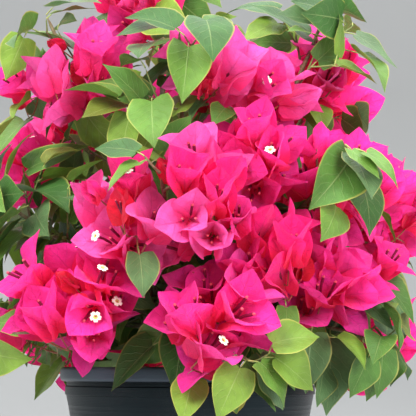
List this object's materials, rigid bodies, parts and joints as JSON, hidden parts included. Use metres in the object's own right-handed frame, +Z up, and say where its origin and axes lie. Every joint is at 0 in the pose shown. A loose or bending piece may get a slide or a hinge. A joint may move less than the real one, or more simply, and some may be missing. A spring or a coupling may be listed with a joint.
{
  "type": "potted bougainvillea bush",
  "caption": "Flowering shrub in a round plastic nursery pot: a short trunk forks into arching canes and boughs that end in masses of leaves and magenta three-bract blooms.",
  "frame": {"origin": "centre of the pot's flat underside", "axes": "+Z up along the pot's axis, -Y towards the front, from where the picture was taken"},
  "size_m": [0.4928, 0.5016, 0.6571],
  "materials": {
    "pot": "satin",
    "soil": "rough",
    "bark": "rough",
    "green_bark": "satin",
    "foliage": "matte",
    "bracts": "matte",
    "leaves": "satin",
    "flowers": "matte"
  },
  "bodies": {
    "root": {"bough_middle_1": "green_bark", "bough_middle_2": "green_bark", "bough_middle_3": "green_bark", "bough_middle_4": "green_bark", "bough_middle_5": "green_bark", "bough_middle_6": "green_bark", "bough_middle_7": "green_bark", "bough_skirt_1": "green_bark", "bough_skirt_2": "green_bark", "bough_skirt_3": "green_bark", "bough_skirt_4": "green_bark", "bough_skirt_5": "green_bark", "bough_skirt_6": "green_bark", "bough_skirt_7": "green_bark", "bough_skirt_8": "green_bark", "cane_1": "bark", "cane_2": "bark", "cane_3": "bark", "cane_4": "bark", "cane_5": "bark", "cane_6": "bark", "cane_leader": "bark", "foliage_middle_1": "foliage", "foliage_middle_2": "foliage", "foliage_middle_3": "foliage", "foliage_middle_4": "foliage", "foliage_middle_5": "foliage", "foliage_middle_6": "foliage", "foliage_middle_7": "foliage", "foliage_skirt_1": "foliage", "foliage_skirt_2": "foliage", "foliage_skirt_3": "foliage", "foliage_skirt_4": "foliage", "foliage_skirt_5": "foliage", "foliage_skirt_6": "foliage", "foliage_skirt_7": "foliage", "foliage_skirt_8": "foliage", "foliage_top": "foliage", "foliage_upper_1": "foliage", "foliage_upper_2": "foliage", "foliage_upper_3": "foliage", "foliage_upper_4": "foliage", "foliage_upper_5": "foliage", "foliage_upper_6": "foliage", "pot": "pot", "soil": "soil", "trunk": "bark"}
  },
  "joints": []
}
